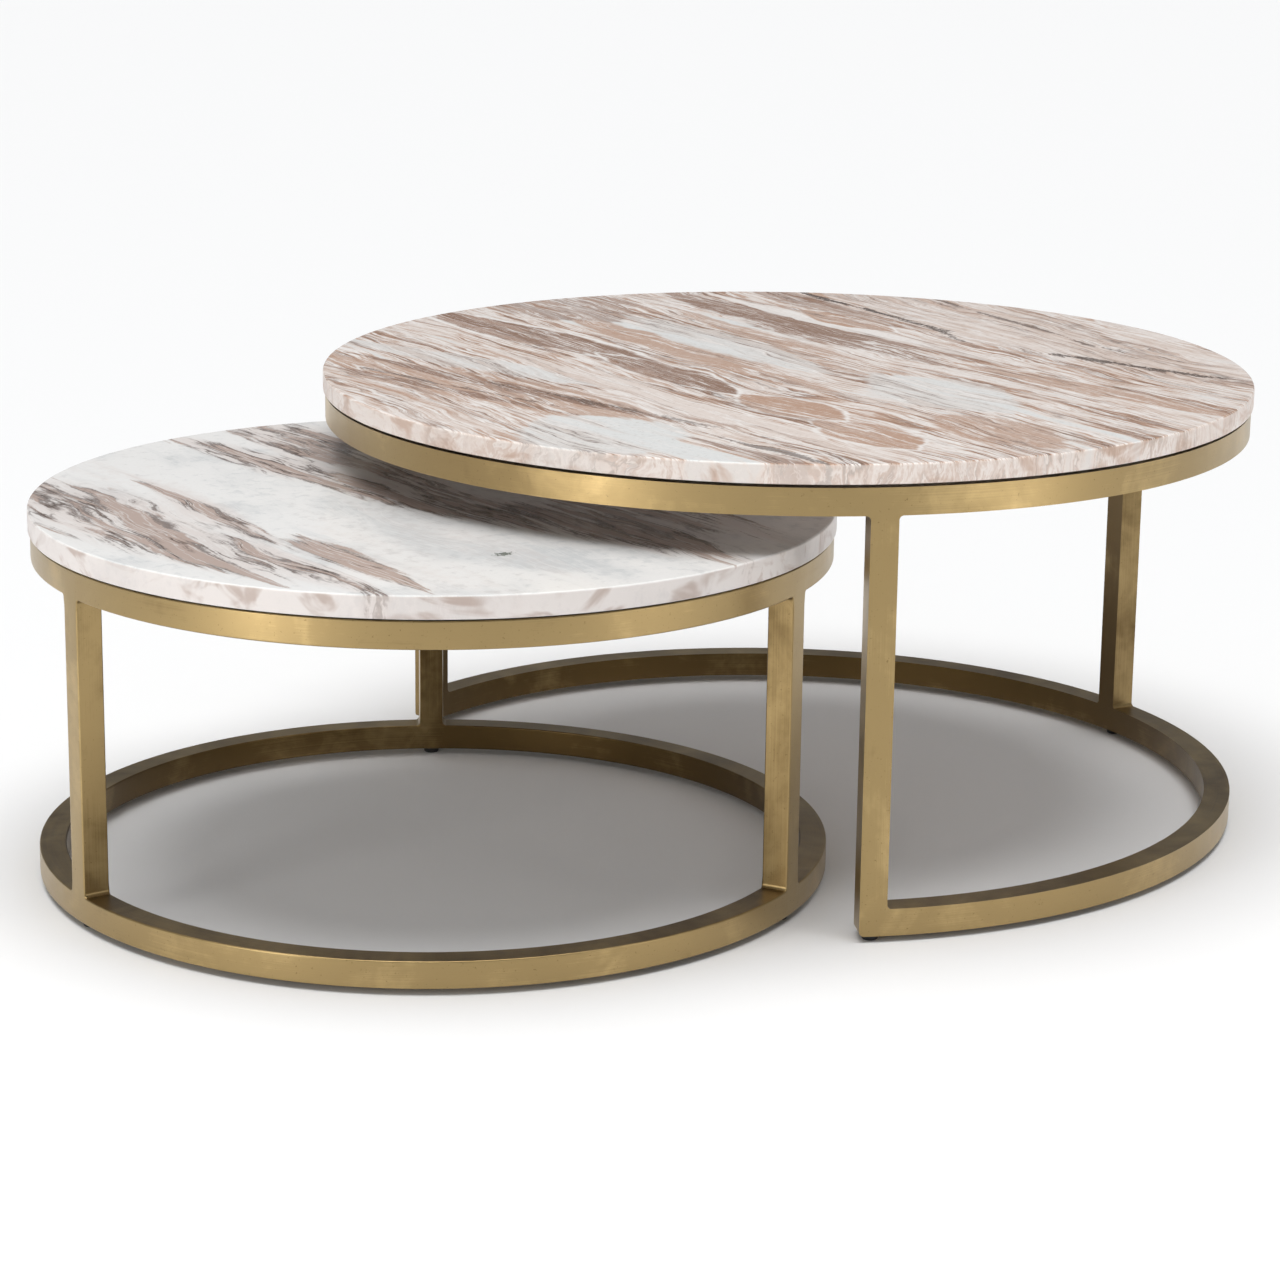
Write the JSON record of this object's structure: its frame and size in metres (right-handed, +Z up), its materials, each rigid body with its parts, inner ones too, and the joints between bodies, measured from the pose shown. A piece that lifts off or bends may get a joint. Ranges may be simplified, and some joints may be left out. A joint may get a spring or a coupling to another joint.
{
  "type": "nesting tables",
  "caption": "Round nesting coffee tables with marble tops on square-tube ring frames; the low one slides in under the high one through the gap in its floor ring.",
  "frame": {"origin": "on the floor, under the middle of the whole set as it stands in the picture, the low table drawn partly out", "axes": "+X along the nesting line, from the low table to the high one; +Z up; +Y to the left of that line"},
  "size_m": [1.2178, 0.8996, 0.434],
  "materials": {
    "pink_marble": "polished marble with brown and white veining",
    "white_marble": "polished white marble with grey clouds and a few brown veins",
    "aged_brass": "antique brushed brass",
    "black_plastic": "moulded, matt",
    "black_rubber": "matt",
    "plated_steel": "zinc plated",
    "plain_brass": "turned"
  },
  "bodies": {
    "large_table": {"large_fixing_insert_1": "plain_brass", "large_fixing_insert_2": "plain_brass", "large_fixing_insert_3": "plain_brass", "large_fixing_screw_1": "plated_steel", "large_fixing_screw_2": "plated_steel", "large_fixing_screw_3": "plated_steel", "large_fixing_tab_1": "aged_brass", "large_fixing_tab_2": "aged_brass", "large_fixing_tab_3": "aged_brass", "large_floor_ring": "aged_brass", "large_foot_bush_back": "plated_steel", "large_foot_bush_left": "plated_steel", "large_foot_bush_right": "plated_steel", "large_leg_back": "aged_brass", "large_leg_left": "aged_brass", "large_leg_right": "aged_brass", "large_marble_top": "pink_marble", "large_ring_cap_left": "aged_brass", "large_ring_cap_right": "aged_brass", "large_stone_pad_1": "black_rubber", "large_stone_pad_2": "black_rubber", "large_stone_pad_3": "black_rubber", "large_upper_ring": "aged_brass"},
    "small_table": {"small_fixing_insert_1": "plain_brass", "small_fixing_insert_2": "plain_brass", "small_fixing_insert_3": "plain_brass", "small_fixing_screw_1": "plated_steel", "small_fixing_screw_2": "plated_steel", "small_fixing_screw_3": "plated_steel", "small_fixing_tab_1": "aged_brass", "small_fixing_tab_2": "aged_brass", "small_fixing_tab_3": "aged_brass", "small_floor_ring": "aged_brass", "small_foot_bush_front": "plated_steel", "small_foot_bush_left": "plated_steel", "small_foot_bush_right": "plated_steel", "small_leg_front": "aged_brass", "small_leg_left": "aged_brass", "small_leg_right": "aged_brass", "small_marble_top": "white_marble", "small_stone_pad_1": "black_rubber", "small_stone_pad_2": "black_rubber", "small_stone_pad_3": "black_rubber", "small_upper_ring": "aged_brass"},
    "large_foot_back": {"large_foot_glide_back": "black_plastic", "large_foot_stud_back": "plated_steel"},
    "large_foot_left": {"large_foot_glide_left": "black_plastic", "large_foot_stud_left": "plated_steel"},
    "large_foot_right": {"large_foot_glide_right": "black_plastic", "large_foot_stud_right": "plated_steel"},
    "small_foot_front": {"small_foot_glide_front": "black_plastic", "small_foot_stud_front": "plated_steel"},
    "small_foot_left": {"small_foot_glide_left": "black_plastic", "small_foot_stud_left": "plated_steel"},
    "small_foot_right": {"small_foot_glide_right": "black_plastic", "small_foot_stud_right": "plated_steel"}
  },
  "joints": [
    {"name": "small_table_slide", "type": "slide", "parent": "large_table", "child": "small_table", "axis": [1, 0, 0], "range_m": [-0.45, 0.445]},
    {"name": "large_foot_back_turn", "type": "hinge", "parent": "large_table", "child": "large_foot_back", "pos_m": [0.59435, -0.0114, 0], "axis": [0, 0, -1], "range_deg": [0, 1800]},
    {"name": "large_foot_left_turn", "type": "hinge", "parent": "large_table", "child": "large_foot_left", "pos_m": [-0.00414, 0.40379, 0], "axis": [0, 0, -1], "range_deg": [0, 1800]},
    {"name": "large_foot_right_turn", "type": "hinge", "parent": "large_table", "child": "large_foot_right", "pos_m": [-0.02505, -0.3947, 0], "axis": [0, 0, -1], "range_deg": [0, 1800]},
    {"name": "small_foot_front_turn", "type": "hinge", "parent": "small_table", "child": "small_foot_front", "pos_m": [-0.5945, 0, 0], "axis": [0, 0, -1], "range_deg": [0, 1800]},
    {"name": "small_foot_left_turn", "type": "hinge", "parent": "small_table", "child": "small_foot_left", "pos_m": [-0.06125, 0.30787, 0], "axis": [0, 0, -1], "range_deg": [0, 1800]},
    {"name": "small_foot_right_turn", "type": "hinge", "parent": "small_table", "child": "small_foot_right", "pos_m": [-0.06125, -0.30787, 0], "axis": [0, 0, -1], "range_deg": [0, 1800]}
  ]
}
